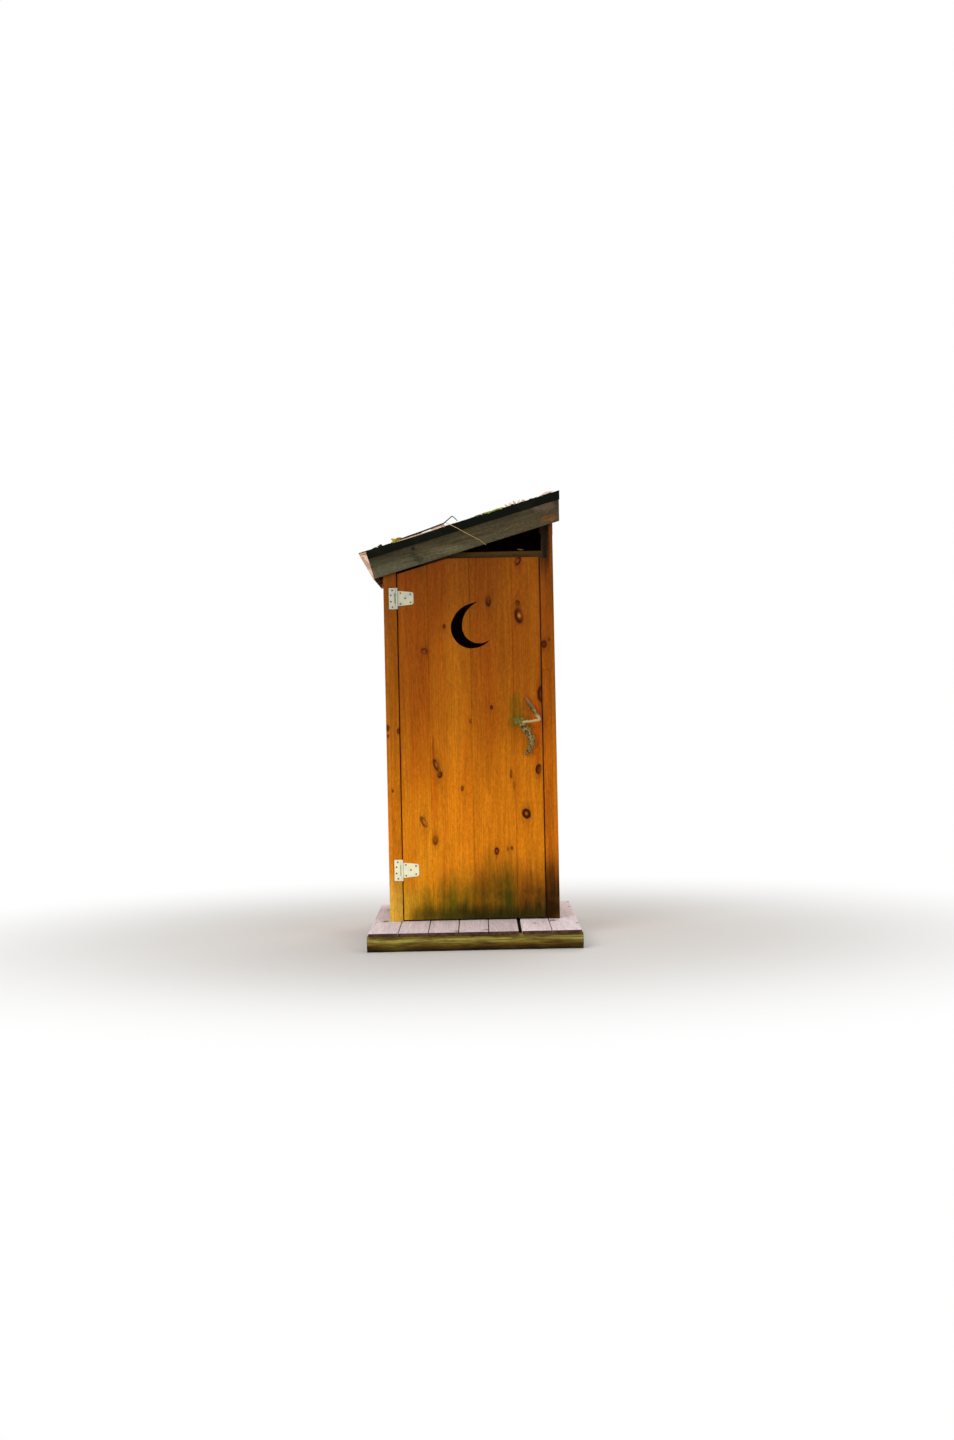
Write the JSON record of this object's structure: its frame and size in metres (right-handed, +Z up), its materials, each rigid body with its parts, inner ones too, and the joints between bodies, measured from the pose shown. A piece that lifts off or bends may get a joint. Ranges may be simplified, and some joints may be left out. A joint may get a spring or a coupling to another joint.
{
  "type": "wooden outhouse",
  "caption": "Small wooden outhouse with a crescent cut in its hinged board door, a branch handle, a single-pitch roof and a plank porch on hewn logs.",
  "frame": {"origin": "middle of the middle log's flat underside, on the ground", "axes": "+X to the right as seen from the door, +Y from the door to the back, +Z up"},
  "size_m": [1.1406, 1.476, 2.3983],
  "materials": {
    "stained_pine": "golden-orange oil stain, satin, with dark knots",
    "frame_pine": "bare sawn pine gone brown with age",
    "weathered_board": "unpainted board weathered grey-brown",
    "deck_grey": "foot-worn boards weathered silver grey",
    "log_bark": "rough bark with green algae",
    "branch_wood": "peeled crooked branch with lichen",
    "roofing_felt": "matt black bitumen sheet",
    "hinge_steel": "dull zinc plate"
  },
  "bodies": {
    "hut": {"front_sleeper_log": "log_bark", "middle_sleeper_log": "log_bark", "rear_sleeper_log": "log_bark", "deck_boards": "deck_grey", "front_left_post": "frame_pine", "front_right_post": "frame_pine", "rear_left_post": "frame_pine", "rear_right_post": "frame_pine", "left_sill": "frame_pine", "right_sill": "frame_pine", "rear_sill": "frame_pine", "left_top_plate": "frame_pine", "right_top_plate": "frame_pine", "front_rafter": "frame_pine", "middle_rafter": "frame_pine", "rear_rafter": "frame_pine", "left_wall": "stained_pine", "right_wall": "stained_pine", "rear_wall": "stained_pine", "left_frieze_boards": "stained_pine", "right_frieze_boards": "stained_pine", "left_trim": "stained_pine", "right_trim_lower": "stained_pine", "right_trim_upper": "stained_pine", "door_header": "stained_pine", "door_stop": "frame_pine", "front_rake_board": "weathered_board", "rear_rake_board": "weathered_board", "eave_fascia": "weathered_board", "high_fascia": "weathered_board", "roof_deck": "frame_pine", "roofing": "roofing_felt", "upper_hinge_leaf": "hinge_steel", "lower_hinge_leaf": "hinge_steel"},
    "door": {"door_board_1": "stained_pine", "door_board_2": "stained_pine", "door_board_3": "stained_pine", "door_board_4": "stained_pine", "upper_batten": "stained_pine", "lower_batten": "stained_pine", "diagonal_brace": "stained_pine", "branch_handle": "branch_wood", "upper_hinge_strap": "hinge_steel", "lower_hinge_strap": "hinge_steel"}
  },
  "joints": [
    {"name": "door_hinge", "type": "hinge", "parent": "hut", "child": "door", "pos_m": [-0.386, -0.1935, 1.1], "axis": [0, 0, -1], "range_deg": [0, 105]}
  ]
}
